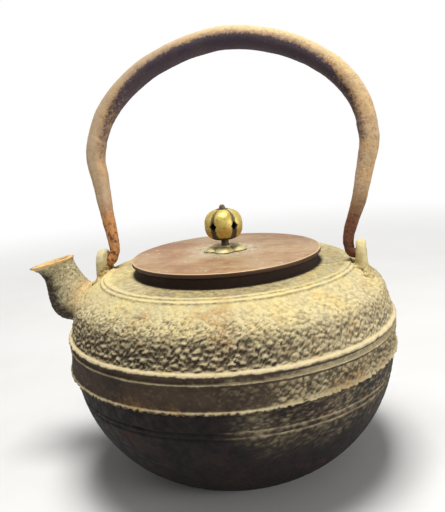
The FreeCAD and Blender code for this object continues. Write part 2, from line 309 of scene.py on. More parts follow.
def without(piece, cutter):
    """The piece with the cutter's room taken out of it. The cutter is removed."""
    cut = piece.modifiers.new("cut", "BOOLEAN")
    cut.object = cutter
    cut.solver = "EXACT"
    graph = bpy.context.evaluated_depsgraph_get()
    mesh = bpy.data.meshes.new_from_object(piece.evaluated_get(graph))
    piece.modifiers.clear()
    old, piece.data = piece.data, mesh
    mesh.name = piece.name
    bpy.data.meshes.remove(old)
    bpy.data.objects.remove(cutter)


def half_round(distance, size):
    """Height of a half-round ridge at a distance from its middle."""
    return np.sqrt(np.maximum(0.0, size ** 2 - distance ** 2))


def shoulder_curve(inset):
    """The curve from the shoulder's rim down to the belt, moved inwards."""
    rim = np.array([shoulder_radius - inset / 2, shoulder_z - inset])
    hip = np.array([belt_radius - inset, belt_z])
    lower = rim + direction(-shoulder_slope) * (shoulder_arm - inset)
    upper = hip + direction(math.pi / 2 + flank_lean) * (flank_arm - inset)
    return bezier(rim, lower, upper, hip, np.linspace(0, 1, curve_points))


body_curve = np.vstack([shoulder_curve(0.0), [skirt_radius, skirt_z]])


def off_body(points):
    """How far points lie outside the upper body's wall, below zero inside it."""
    flat = np.stack([np.hypot(points[..., 0], points[..., 1]), points[..., 2]], -1).reshape(-1, 1, 2)
    gap = flat - body_curve[None]
    nearest = np.argmin((gap ** 2).sum(-1), 1)
    tangent = unit(np.gradient(body_curve, axis=0)[nearest])
    normal = np.stack([-tangent[:, 1], tangent[:, 0]], 1)
    found = (gap[np.arange(len(gap)), nearest] * normal).sum(-1)
    return found.reshape(points.shape[:-1])


def root_spread(gap, size):
    """How near points a gap off the body are, 1 at it and 0 at size off, and a root's spread there."""
    near = np.clip(1 - gap / size, 0, 1)
    return near, size * (1 - np.sqrt(1 - 0.98 * near ** 2))


def upper_body_profile():
    """The casting's section: from the mouth over the outside to the skirt, then back inside."""
    curve, inner = shoulder_curve(0.0)[1:], shoulder_curve(body_wall)[::-1]
    near_rim, on_dome = curve[:, 1] > shoulder_z - 2.4, curve[:, 1] > belt_z + 1.7
    return section(
        (mouth_radius, mouth_z - 0.5),
        (0.4, (mouth_radius + 0.4, mouth_z)),
        (1.0, (collar_radius - 0.5, mouth_z)),
        (0.4, (collar_radius, mouth_z - 0.5)),
        (0.9, (collar_radius + 0.1, shoulder_z + 0.8)),
        (0.4, (collar_radius + 0.9, shoulder_z)),
        (1.0, (shoulder_radius - 1.4, shoulder_z)),
        (0.25, (shoulder_radius, shoulder_z)),
        (0.25, curve[near_rim]),
        (0.62, curve[~near_rim & on_dome]),
        (0.29, curve[~on_dome], (belt_radius + 0.1, belt_z - 2), (belt_radius + 0.5, thin_belt_z - 1.2)),
        (0.62, (skirt_radius - 0.3, skirt_z + 2.6)),
        (0.36, (skirt_radius, skirt_z + 0.3)),
        (0.6, (skirt_radius - 0.4, skirt_z), (bowl_rim_radius, skirt_z)),
        (2.0, (socket_radius, skirt_z)),
        (3.0, (socket_radius, socket_z)),
        (3.5, inner),
        (4.0, (mouth_radius, inner[-1][1])),
        (3.0, (mouth_radius, mouth_z - 0.5)))[:-1]


def rough_side(place):
    """1 on the side whose skin was cast roughest, 0 on the side across from it."""
    return 0.5 + 0.5 * np.cos(np.arctan2(place[..., 1], place[..., 0]) - rough_azimuth)


def upper_body():
    """The hollow pebbled casting from collar to ragged skirt, with the spout's way in."""
    profile = upper_body_profile()
    place, normal = turned(profile, body_columns)
    radius, z = profile[:, 0, None], profile[:, 1, None]
    last_outer = np.argmax((profile[:, 1] <= skirt_z) & (profile[:, 0] <= bowl_rim_radius + 0.01))
    outside = (np.arange(len(profile))[:, None] < last_outer).astype(float)
    drop = (shoulder_z - z) / (shoulder_z - belt_z)
    roughness, broad = rough_side(place), mottle(place, 24.0, 5)
    calm = smooth(0.82, 0.98, roughness)

    # Pebbles: fine near the shoulder, coarse above the belt, and below it mostly on the rough side
    squat = place * [1.0, 1.0, 1.3]
    share = smooth(0.3, 0.85, drop + 0.2 * broad - 0.1 * calm)
    coarse, fine = sampled(pebble, squat, coarse_pebble, 3), sampled(pebble, squat, fine_pebble, 8)
    lumps = share * coarse + (1 - share) * fine
    on_dome = smooth(0.0, 0.36 + 0.35 * calm, drop + 0.08 * broad) * smooth(belt_z + 0.9, belt_z + 2.4, z)
    on_dome *= smooth(shoulder_radius - 0.5, shoulder_radius + 0.5, radius)
    on_band = smooth(thin_belt_z - 0.7, thin_belt_z - 2.0, z) * smooth(skirt_z + 1.4, skirt_z + 3.0, z)
    on_band = on_band * (0.15 + 0.85 * smooth(0.74, 0.92, roughness + 0.12 * broad))
    pebbled = outside * (on_dome + on_band)
    height = pebbled * (pebble_rise + (coarse_rise - pebble_rise) * share) * (lumps - 0.45)

    # Ridges: two shoulder lines, thick belt and thin belt, all worn, and the skirt's ragged lip
    along = lengths_along(profile)[:, None]
    rim = along[np.argmin(np.hypot(profile[:, 0] - shoulder_radius, profile[:, 1] - shoulder_z))]
    ridges = sum(line_ridge * np.exp(-((along - rim - gap) / line_width) ** 2) for gap in (0.0, line_gap))
    belts = half_round(z - belt_z, belt_ridge) + half_round(z - thin_belt_z, thin_belt_ridge)
    ridges = outside * (ridges + belts)
    crests = np.clip(ridges / thin_belt_ridge, 0, 1)
    wear_and_light, ragged = 1 + 0.35 * mottle(place, 3.0, 11), mottle(place * [1.0, 1.0, 0.5], 1.7, 17)
    lip = outside * smooth(skirt_z + 1.7, skirt_z + 0.9, z)
    height += ridges * wear_and_light + outside * 0.06 * mottle(place, 1.1, 2) + lip * (0.5 + 0.9 * ragged)
    height -= outside * skirt_wear * calm * smooth(thin_belt_z - 1.0, skirt_z + 4.0, z)
    place = place + normal * height[..., None]
    edge = outside * smooth(skirt_z + 0.9, skirt_z + 0.2, z)
    edge *= smooth(bowl_rim_radius + 0.2, skirt_radius - 0.4, radius)
    place[..., 2] += edge * 0.55 * mottle(place, 2.0, 23)

    # Dust and painted light: lighter where the wall and its lumps face up, as painted light from above,
    # and least below the belts and on the flat by the collar, as painted shade
    facing, up = normal[..., 2], grid_normals(place)[..., 2]
    dust_and_light = smooth(-0.3, 0.8, facing + 0.08 * broad) * (1 - 0.2 * share)
    dust_and_light += 0.75 * calm * (0.74 + 0.1 * broad - dust_and_light)
    dust_and_light = np.clip(dust_and_light + facet_dust_and_light * (1 - 0.3 * calm) * (up - facing), 0, 1)
    # The flat by the collar is darker, most at its front: painted shade of the collar and the lid
    flat = 0.46 + 0.22 * smooth(0.3, 0.85, np.abs(place[..., 0]) / radius)
    dust_and_light *= (flat + (1 - flat) * smooth(shoulder_radius - 3.5, shoulder_radius - 0.5, radius))
    # Less painted shade below the belts on the rough side, where the band's lumps get painted light
    bare = smooth(0.74, 0.96, roughness + 0.1 * broad)
    dust_and_light *= (1 - smooth(belt_z + 0.3, belt_z - 0.8, z) * (0.92 - 0.72 * bare))
    dust_and_light = np.maximum(dust_and_light, on_band * bare * np.clip(lumps, 0, 1) * 0.55)
    # Painted highlights on the belts' crests and on the skirt's ragged lip
    dust_and_light = np.maximum(dust_and_light, crests * smooth(-0.1, 0.4, up) * np.clip(wear_and_light, 0.5, 1))
    dust_and_light = np.maximum(dust_and_light, lip * smooth(-0.35, 0.25, up) * np.clip(1.05 + 0.4 * ragged, 0, 1))
    # The collar under the lid's rim is painted dark: its dark iron and painted shade under the lid
    collar = smooth(collar_radius + 1.6, collar_radius + 0.3, radius)
    collar *= smooth(shoulder_z - 1, shoulder_z, z)
    grit = smooth(collar_radius + 1.0, collar_radius + 3.0, radius) * smooth(skirt_z, skirt_z + 2.0, z)
    grit *= (0.3 + 0.7 * smooth(shoulder_radius + 1.5, shoulder_radius + 10.0, radius))
    from_spout = np.linalg.norm(place - spout_root, axis=2)
    # Relief is low in the pebbles' creases, where the paint darkens them as painted shade
    marks = {"relief": np.clip(1 - pebbled * (1 - np.clip(1.2 * lumps, 0, 1)), 0, 1),
             "dust_and_light": dust_and_light * (1 - collar) * outside,
             "rust": 0.5 + 0.5 * mottle(place, 16.0, 31) + 0.4 * smooth(28.0, 8.0, from_spout),
             "collar": collar,
             "grit": grit * (1 - 0.8 * share) * (1 - 0.2 * calm) * (1 - crests)}
    body = mesh_object("upper_body_cast", place, closed_rows=True, marks=marks)
    way = spout_tube(spout_wall - way_slack, way_rows, way_columns, spout_lead)
    without(body, mesh_object("spout_way", way))
    return body


def spout_tube(inset, rows, columns, lead=0.0):
    """Points on the spout's form moved inwards: rows from its root, or a lead before it, to its lip."""
    share = np.linspace(0, 1, rows)
    across = direction(spout_mouth_tilt) * spout_mouth_radius
    low = bezier(*np.array([spout_heel, spout_belly, spout_chin]), spout_mouth - across, share)
    high = bezier(*np.array([spout_crook, spout_bend, spout_nape]), spout_mouth + across, share)
    if lead:
        low, high = (np.vstack([edge[:1] + [[lead, 0.0]], edge]) for edge in (low, high))
    centre, half = (low + high) / 2, (high - low) / 2
    size = np.linalg.norm(half, axis=1)
    half *= ((size - inset) / size)[:, None]
    angles = ring(columns)
    flat = centre[:, None] + half[:, None] * np.cos(angles)[:, None]
    return np.stack([flat[..., 0], (size - inset)[:, None] * np.sin(angles), flat[..., 1]], -1)


def from_body(tube, depth, rows):
    """The tube's columns from a depth inside the body's skin to the lip, in even rows."""
    gap, places = off_body(tube), np.arange(len(tube))
    found = np.empty((rows, tube.shape[1], 3))
    for column, start in enumerate(np.argmax(gap > -depth, 0)):
        picked = np.linspace(start, len(tube) - 1, rows)
        for axis in range(3):
            found[:, column, axis] = np.interp(picked, places, tube[:, column, axis])
    return found


def spout():
    """The flared spout, its root spreading into the body, its bore open."""
    outer = from_body(spout_tube(0.0, trial_rows, spout_columns), root_depth, spout_rows)
    inner = from_body(spout_tube(spout_wall, trial_rows, spout_columns), root_depth, spout_rows // 2)
    inner = inner[::-1]
    out = unit(outer - outer.mean(1, keepdims=True))
    near, flare = root_spread(off_body(outer), root_flare)
    grain, lumps = mottle(outer, 1.3, 41), mottle(outer, 7.0, 47, 2)
    pits = 1 - np.clip(sampled(pebble, outer, 1.7, 43), 0, 1)
    share = np.linspace(0, 1, spout_rows)[:, None]
    lip_bead = 0.8 * smooth(0.9, 0.975, share)
    outer = outer + out * (flare + lip_bead + 0.08 * grain + 0.2 * lumps - 0.4 * pits)[..., None]
    inside = np.linspace(1, 0, len(inner))[:, None] + 0 * inner[..., 0]
    # Painted shade on the underside; painted light on the lip and on the inner wall near the lip, in the
    # dust and tan marks
    under = smooth(0.1, -0.26, out[..., 2] + 0.1 * lumps)
    stain = smooth(11.0, 1.0, off_body(outer) + 3.0 * lumps)
    dust_and_light = 0.82 + 0.18 * near - 0.7 * under + 0.3 * smooth(0.96, 1.0, share)
    sides = {"dust_and_light": (dust_and_light, 0.25 + 0.75 * inside ** 2),
             "relief": (np.clip(1 - 0.8 * pits + 0.25 * grain, 0, 1), 0.8 + 0.2 * inside),
             "grit": (0.45, 0.0),
             "grey": (0.7 * (1 - near), 0.0),
             "rust": (0.42 + 0.25 * lumps + 0.4 * near, 0.6 + 0.2 * inside),
             "tan": (smooth(0.935, 0.965, share) + 0.5 * stain * (1 - under), smooth(0.5, 0.9, inside))}
    marks = {mark: np.vstack([on_outer + 0 * grain, on_inner + 0 * inside])
             for mark, (on_outer, on_inner) in sides.items()}
    return mesh_object("spout_cast", np.vstack([outer, inner]), closed_rows=True, marks=marks)


def ear_form(side):
    """Points of a lug, round-topped about the hinge axis and thinner upwards, and the way out at each."""
    foot_z, top_half = pivot_z - ear_foot_depth, ear_width / 2
    turn = np.linspace(0, math.pi / 2, ear_rows // 3)
    zs = np.concatenate([np.linspace(foot_z, pivot_z, ear_rows - len(turn), endpoint=False),
                         pivot_z + top_half * np.sin(turn * 0.985)])
    below = np.clip((pivot_z - zs) / ear_foot_depth, 0, 1)
    width = np.where(zs > pivot_z, half_round(zs - pivot_z, top_half),
                     top_half + (ear_foot_width / 2 - top_half) * below)
    share = (ear_top_z - zs) / (ear_top_z - foot_z)
    thick = (ear_thickness + (ear_foot_thickness - ear_thickness) * share) / 2
    crown = np.clip((zs - (ear_top_z - ear_crown)) / ear_crown, 0, 1)
    thick *= np.sqrt(1 - 0.8 * crown ** 2)
    round_x, round_y = powered(direction(ring(ear_columns)), ear_power).T
    points = np.stack([side * ear_x + thick[:, None] * round_x, width[:, None] * round_y,
                       zs[:, None] + 0 * round_x], -1)
    return points, np.stack([round_x, round_y, 0 * round_x], -1)


def ear_bore(side, name):
    """A cutter for the lug's hole along the hinge axis."""
    xs = side * ear_x + np.array([-1, 1]) * 2 * ear_foot_thickness
    across, rise = bore_radius * direction(ring(bore_columns)).T
    return mesh_object(name, np.stack(np.broadcast_arrays(xs[:, None], across, pivot_z + rise), -1))


def ear(side, name):
    """A bored lug, lumpy and pitted, its foot spreading into the body."""
    points, out = ear_form(side)
    gap = off_body(points)
    points = points + out * root_spread(gap, ear_flare)[1][..., None]
    kept = (gap > -ear_depth).any(1)
    points, gap = points[kept], gap[kept]
    grain, lumps = mottle(points, 1.2, 61), mottle(points, 5.0, 71, 2)
    pits = sampled(pit, points, 2.1, 67)
    rough_foot = smooth(6.0, 1.0, gap)
    points = points + out * (0.07 * grain + 0.2 * lumps - (0.12 + 0.3 * rough_foot) * pits)[..., None]
    marks = {"dust_and_light": 1.0 + 0.1 * lumps - 0.2 * rough_foot,
             "relief": np.clip(1 - (0.7 + rough_foot) * pits + 0.2 * grain, 0, 1),
             "rust": 0.45 + 0.3 * lumps + 0.4 * rough_foot,
             "grit": 0.25 + 1.15 * rough_foot,
             "grey": 0.3 - 0.3 * rough_foot}
    piece = mesh_object(name, points, marks=marks)
    without(piece, ear_bore(side, name + "_bore"))
    return piece


def bail_line():
    """The bail's centreline from one peg to the other: x, height, thickness and depth at each point."""
    foot, spring = np.array([foot_x, foot_height]), np.array([bail_half_span, bail_spring])
    knots = [(foot_x, elbow_radius, *foot_size), (*foot, *foot_size)]
    for share in (0.35, 0.7, 1.0):
        size = [f + (l - f) * share for f, l in zip(foot_size, leg_size)]
        knots.append((*(foot + (spring - foot) * share), *size))
    rise = bail_height - bail_spring
    for turn in np.radians([22.5, 45.0, 67.5, 90.0]):
        share = 1 - (1 - math.sin(turn)) ** 2
        size = [l + (a - l) * share for l, a in zip(leg_size, arch_size)]
        across = np.array([math.cos(turn) * rise, math.sin(turn) * bail_half_span])
        drawn = across / np.linalg.norm(across) * haunch_draw * math.sin(2 * turn)
        centre = np.array([bail_half_span * math.cos(turn), bail_spring + rise * math.sin(turn)]) - drawn
        knots.append((*centre, *size))
    knots = np.array(knots)
    knots = np.vstack([knots, (knots[:-1] * [-1, 1, 1, 1])[::-1]])
    arch = spline(knots, np.linspace(0, len(knots) - 1, bail_trial))
    turns = np.linspace(0, math.pi / 2, 8)
    elbow = np.stack([foot_x + elbow_radius * (1 - np.sin(turns)), elbow_radius * (1 - np.cos(turns)),
                      foot_size[0] + 0 * turns, foot_size[1] + 0 * turns], 1)
    peg = [(x, 0, 2 * peg_radius, 2 * peg_radius) for x in (peg_end_x, foot_x + elbow_radius)]
    end = np.vstack([spaced(peg, 0.6)[:-1], elbow[:-1]])
    line = np.vstack([end, spaced(arch, bail_step), (end * [-1, 1, 1, 1])[::-1]])
    share = (line[:, 1] - foot_height) / (bail_spring - foot_height)
    bow = np.where(line[:, 0] > 0, right_leg_bow, -left_leg_bow)
    line[:, 0] += bow * smooth(0.0, 0.4, share) * smooth(1.05, 0.7, share)
    return line


def bail_form(line, free, leg):
    """The bail upright, soft-edged: points of its sections, the ways out of them and across its line."""
    tangent = unit(np.gradient(line[:, :2], axis=0))
    across = np.stack([tangent[:, 1], 0 * tangent[:, 0], -tangent[:, 0]], 1)[:, None]
    centre = np.stack([line[:, 0], 0 * line[:, 0], pivot_z + line[:, 1]], 1)[:, None]
    outward, sideways = direction(ring(bail_columns)).T
    flattened = np.where(outward < 0, 1 - 0.07 * free * (1 - leg), 1)
    outward, sideways = (powered(turn, 1 - 0.2 * free) for turn in (outward, sideways))
    outward *= flattened
    reach = (outward[..., None] * across * line[:, None, 2:3] / 2
             + sideways[..., None] * [0, 1.0, 0] * line[:, None, 3:4] / 2)
    out = unit(reach)
    step = spring_step * smooth(0.3, -0.5, outward) * smooth(64.0, 61.5, line[:, 1, None]) * free
    return centre + reach + out * step[..., None], out, across


def bail():
    """The forged bail with its pegs, leaning as it stands, hammered and pitted."""
    line = bail_line()
    height = line[:, 1, None]
    free, leg, low = smooth(1.5, 6.0, height), smooth(62.0, 34.0, height), smooth(40.0, 6.0, height)
    points, out, across = bail_form(line, free, leg)
    hammer, grain = mottle(points, 9.0, 81, 2), mottle(points, 1.6, 83)
    pits = sampled(pit, points, 1.9, 87) * free
    rise = free * (0.22 * hammer + (0.07 + 0.1 * low) * grain) - (0.14 + 0.3 * low) * pits
    lean = np.array(Matrix.Rotation(-bail_lean, 3, "X"))
    axis = np.array([0, 0, pivot_z])
    points = (points + out * rise[..., None] - axis) @ lean.T + axis
    up = (out @ lean.T)[..., 2]
    left = smooth(10.0, -50.0, points[..., 0])
    crown = smooth(bail_spring, bail_height - 4.0, height)
    facing = crown * up + (1 - crown) * (out * across).sum(2) + 0.08 * grain + 0.05 * hammer
    lit = smooth(0.0, 1.0, (facing - (0.85 * crown - 0.8)) / (0.9 - 0.1 * crown))
    lit += (1 - lit) * 0.4 * (1 - crown)
    # Dust and painted light: lighter on top of the arch and on the outer side of the legs as painted
    # light from above, darker beneath as painted shade
    marks = {"dust_and_light": (1 - leg) * lit * (0.7 + 0.3 * np.maximum(crown, left)) + leg * (0.62 + 0.2 * left),
             "relief": np.clip(1 - pits + 0.2 * grain, 0, 1),
             "foot": low,
             "left": left}
    return mesh_object("bail_forged", points, marks=marks)


def bowl_arc(inset):
    """The bowl's wall from its rim to its foot, moved inwards."""
    rim, foot = np.array([bowl_rim_radius, skirt_z]), np.array([base_radius, 0.0])
    chord = foot - rim
    half = np.linalg.norm(chord) / 2
    outward = np.array([-chord[1], chord[0]]) / (2 * half)
    radius = (half ** 2 + bowl_bulge ** 2) / (2 * bowl_bulge)
    centre = (rim + foot) / 2 - outward * (radius - bowl_bulge)
    start, end = (math.atan2(*(p - centre)[::-1]) for p in (rim, foot))
    turns = np.linspace(start, end, curve_points)
    return centre + (radius - inset) * direction(turns)


def bowl_profile():
    """The bowl's section: from its inside over the spigot and down the outside to the base."""
    wall, inner = bowl_arc(0.0), bowl_arc(bowl_wall)[::-1]
    upper = section(
        (hub_radius, inner[0][1]),
        (4.0, inner[0]),
        (3.0, inner[1:]),
        (2.0, (spigot_bore, spigot_z)),
        (1.2, (spigot_radius, spigot_z)),
        (2.0, (spigot_radius, skirt_z)),
        (0.9, wall[0]),
        (0.4, wall[1:][wall[1:, 1] >= fine_rows_z]))
    lower = spaced(wall[wall[:, 1] <= fine_rows_z + rows_overlap], 1.1)
    base = section(wall[-1], (0.4, (base_radius - 0.8, 0.0)), (4.0, (hub_radius, 0.0)))
    return joined(upper, lower, base)


def lower_bowl():
    """The darker bowl: flat base, faint double line, and the spigot that stands in the skirt."""
    profile = bowl_profile()
    place, normal = turned(profile, bowl_columns)
    z = profile[:, 1, None]
    rim_row = np.argmin(np.hypot(profile[:, 0] - bowl_rim_radius, profile[:, 1] - skirt_z))
    outside = (np.arange(len(profile)) >= rim_row)[:, None] * smooth(0.0, 1.5, z)
    broad, grain = mottle(place, 26.0, 91), mottle(place, 2.4, 93)
    skin = sampled(pebble, place * [0.8, 0.8, 1.3], 2.4, 95)
    rough = smooth(0.66, 1.02, rough_side(place) + 0.06 * broad) * smooth(16.0, 50.0, z)
    lines = sum(half_round(z - line, bowl_line_depth) for line in bowl_lines)
    on_line = np.clip(lines / bowl_line_depth, 0, 1)
    depth = 0.07 * grain + 0.34 * rough * skin * (1 - on_line)
    depth += lines * (1 + 0.3 * mottle(place, 8.0, 97))
    place = place - normal * (outside * depth)[..., None]
    skin = np.clip(skin, 0, 1)
    # Dust and painted light: lighter on the rough side's lumps, and a painted highlight along the lines
    dust_and_light = 0.05 + rough * (0.12 + 0.45 * skin) + 0.1 * broad + on_line * (0.08 + 0.34 * rough)
    marks = {"dust_and_light": np.clip(dust_and_light, 0, 1) * outside,
             "relief": 1 - rough * (1 - skin) * outside,
             "rust": 0.5 + 0.5 * mottle(place, 14.0, 99)}
    return mesh_object("lower_bowl_cast", place, marks=marks)


def lid():
    """The thin copper lid plate, gently uneven, its rim softened."""
    turns = np.linspace(0, math.pi / 2, 6)
    rim = np.array([lid_radius, lid_edge_z]) - lid_edge_round + lid_edge_round * direction(turns)
    radii = np.linspace(rim[-1][0], lid_bore, 60)
    crown = np.stack([radii, lid_edge_z + lid_crown * (1 - (radii / lid_radius) ** 2)], 1)
    under = section(
        (lid_bore, mouth_z),
        (2.5, (lid_radius - lid_bevel, mouth_z)),
        (0.25, (lid_radius, mouth_z + lid_bevel)),
        (0.5, rim[0]))
    place = turned(joined(under, rim, spaced(crown, 0.8)), lid_columns)[0]
    z, radius = place[..., 2], np.hypot(place[..., 0], place[..., 1])
    on_top = smooth(lid_edge_z - 0.3, lid_edge_z, z) * smooth(4.0, 9.0, radius)
    z += 0.07 * mottle(place, 14.0, 101, 2) * on_top
    rim_near = smooth(lid_radius - 0.45, lid_radius - 0.2, radius)
    # The rounded top of the rim is lighter: wear and a painted highlight
    marks = {"wear_and_light": smooth(lid_edge_z - 0.22, lid_edge_z - 0.1, z) * rim_near,
             "side": smooth(lid_edge_z - 0.12, lid_edge_z - 0.3, z)}
    return mesh_object("lid_plate_copper", place, closed_rows=True, marks=marks)


def knob_profile():
    """The shell's section: its lobed outside, in shares of a lobe's reach, and the plain rest."""
    power = 2 / knob_squareness
    turns = np.linspace(-1.36, 1.36, knob_rows)
    rise = lobe_half_height * powered(np.sin(turns), power)
    outside = np.stack([np.cos(turns) ** power, knob_z + rise], 1)
    high_z = 2 * knob_z - knob_low_z
    start = math.asin(knob_bore / knob_hollow[0])
    turns = np.linspace(start, math.pi - start, knob_rows // 2)
    hollow = np.stack([knob_hollow[0] * np.sin(turns), knob_z + knob_hollow[1] * np.cos(turns)], 1)
    rest = np.vstack([
        (knob_boss_radius, outside[-1, 1] - 0.1), (knob_boss_radius, high_z), (knob_bore, high_z), hollow,
        (knob_bore, knob_low_z), (knob_boss_radius, knob_low_z), (knob_boss_radius, outside[0, 1] + 0.1)])
    return outside, rest


def knob_window(angle):
    """A diamond prism that cuts a window through the shell at an angle round it."""
    across, rise = ((window_half_width, window_half_height) * direction(ring(4))).T
    out = direction(angle)
    along = np.array([-out[1], out[0]])
    points = np.empty((2, 4, 3))
    for row, reach in enumerate((knob_boss_radius, 2 * lobe_radius)):
        points[row, :, :2] = reach * out + across[:, None] * along
        points[row, :, 2] = knob_z + rise
    return mesh_object("knob_window", points)


def knob_shell():
    """The hollow brass shell: broad lobes, and a diamond window in each groove between them."""
    outside, rest = knob_profile()
    part = math.pi / lobe_count
    apart = (ring(knob_columns) - lobe_turn + part) % (2 * part) - part
    reach = lobe_offset * np.cos(apart) + np.sqrt(lobe_radius ** 2 - (lobe_offset * np.sin(apart)) ** 2)
    radius = np.vstack([outside[:, :1] * reach, rest[:, :1] + 0 * reach])
    z = np.concatenate([outside[:, 1:], rest[:, 1:]])
    points = swept(radius, z, knob_columns)
    outer = (np.arange(len(points)) < len(outside))[:, None]
    marks = {"crest": outer * (reach - reach.min()) / (reach.max() - reach.min())}
    shell = mesh_object("knob_shell_brass", points, closed_rows=True, marks=marks)
    for window in range(lobe_count):
        without(shell, knob_window(lobe_turn + (2 * window + 1) * part))
    return shell


def colour(red, green, blue):
    """A colour written as on a screen, 0 to 255, for a shader."""
    parts = [c / 255 for c in (red, green, blue)]
    return [c / 12.92 if c <= 0.04045 else ((c + 0.055) / 1.055) ** 2.4 for c in parts] + [1.0]


class Value:
    """A number, place or colour that a node of a paint gives. Arithmetic on it adds nodes."""

    def __init__(self, paint, socket):
        self.paint, self.socket = paint, socket

    def math(self, operation, other):
        """The number and another one, put together by a node."""
        return self.paint.value("ShaderNodeMath", "Value", self, other, operation=operation)

    def __add__(self, other):
        return self.math("ADD", other)

    def __sub__(self, other):
        return self.math("SUBTRACT", other)

    def __mul__(self, other):
        return self.math("MULTIPLY", other)

    def fade(self, low, high, end=1.0, start=0.0):
        """A smooth change from start, where the number is at low, to end, where it is at high."""
        return self.paint.value("ShaderNodeMapRange", "Result", self, low, high, start, end,
                                interpolation_type="SMOOTHSTEP")


class Paint:
    """A material and short calls that add nodes to it."""

    def __init__(self, name, specular=0.5):
        self.material = bpy.data.materials.new(name)
        self.material.use_nodes = True
        self.tree = self.material.node_tree
        self.shader = self.tree.nodes["Principled BSDF"]
        self.shader.inputs["Specular IOR Level"].default_value = specular
        self.place = self.value("ShaderNodeTexCoord", "Object")

    def node(self, kind, *links, **settings):
        """A node, its first inputs linked to values of nodes or set to plain ones."""
        made = self.tree.nodes.new(kind)
        for key, value in settings.items():
            setattr(made, key, value)
        for socket, value in zip(made.inputs, links):
            self.put(socket, value)
        return made

    def value(self, kind, output, *links, **settings):
        """What an output of a new node gives."""
        return Value(self, self.node(kind, *links, **settings).outputs[output])

    def put(self, socket, value):
        """Links a socket to a value of a node, sets it to a plain one, or leaves it for None."""
        if isinstance(value, Value):
            self.tree.links.new(value.socket, socket)
        elif value is not None:
            socket.default_value = value

    def mark(self, name):
        """A mark of the mesh."""
        return self.value("ShaderNodeAttribute", "Fac", attribute_name=name)

    def rise(self):
        """Height in the frame, in metres."""
        return self.value("ShaderNodeSeparateXYZ", "Z", self.place)

    def vector(self, operation, *links, output="Vector"):
        """What a node makes of places."""
        return self.value("ShaderNodeVectorMath", output, *links, operation=operation)

    def from_axis(self):
        """Distance from the frame's Z axis, in metres."""
        flat = self.vector("MULTIPLY", self.place, (1.0, 1.0, 0.0))
        return self.vector("LENGTH", flat, output="Value")

    def texture(self, kind, output, size, place, **inputs):
        """What a texture gives at places, with features about size millimetres across."""
        made = self.node(kind, place)
        for socket, value in {"Scale": 1 / (size * MM), **inputs}.items():
            made.inputs[socket].default_value = value
        return Value(self, made.outputs[output])

    def cloud(self, size, detail=4.0, rough=0.6, stretch=(1.0, 1.0, 1.0)):
        """Noise at places scaled by stretch."""
        place = self.vector("MULTIPLY", self.place, stretch)
        return self.texture("ShaderNodeTexNoise", "Fac", size, place, Detail=detail, Roughness=rough)

    def cells(self, size, place):
        """Distance from the middle of a cell."""
        return self.texture("ShaderNodeTexVoronoi", "Distance", size, place)

    def coats(self, base, *coats):
        """Colours over a base. A coat is a share, or a value and its fade's limits, and then a colour."""
        for share, *limits, tone in coats:
            made = self.node("ShaderNodeMix", data_type="RGBA")
            share = share.fade(*limits) if limits else share
            for socket, value in zip(mix_inputs, (share, base, tone)):
                self.put(made.inputs[socket], colour(*value) if isinstance(value, tuple) else value)
            base = Value(self, made.outputs[mix_result])
        return base

    def finish(self, base, rough, metal=None, height=None, depth=0.0):
        """Links the shader: base colour, roughness, metallic and a bump of a depth in millimetres."""
        for socket, value in (("Base Color", base), ("Roughness", rough), ("Metallic", metal)):
            self.put(self.shader.inputs[socket], value)
        if height is not None:
            bump = self.node("ShaderNodeBump")
            for socket, value in (("Strength", 1.0), ("Distance", depth * MM), ("Height", height)):
                self.put(bump.inputs[socket], value)
            self.put(self.shader.inputs["Normal"], Value(self, bump.outputs["Normal"]))
        return self.material


def gritty_cells(paint, grit):
    """Cells of a gritty skin, and how much each of their sides faces up, as far as it is gritty."""
    warp = paint.texture("ShaderNodeTexNoise", "Color", grit_wander, paint.place)
    shifted = paint.vector("MULTIPLY_ADD", warp, (grit_warp * MM,) * 3, paint.place)
    above = paint.vector("ADD", shifted, (0.0, 0.0, grit_lift * MM))
    cells = paint.cells(grit_cell, shifted)
    return cells, (paint.cells(grit_cell, above) - cells) * grit


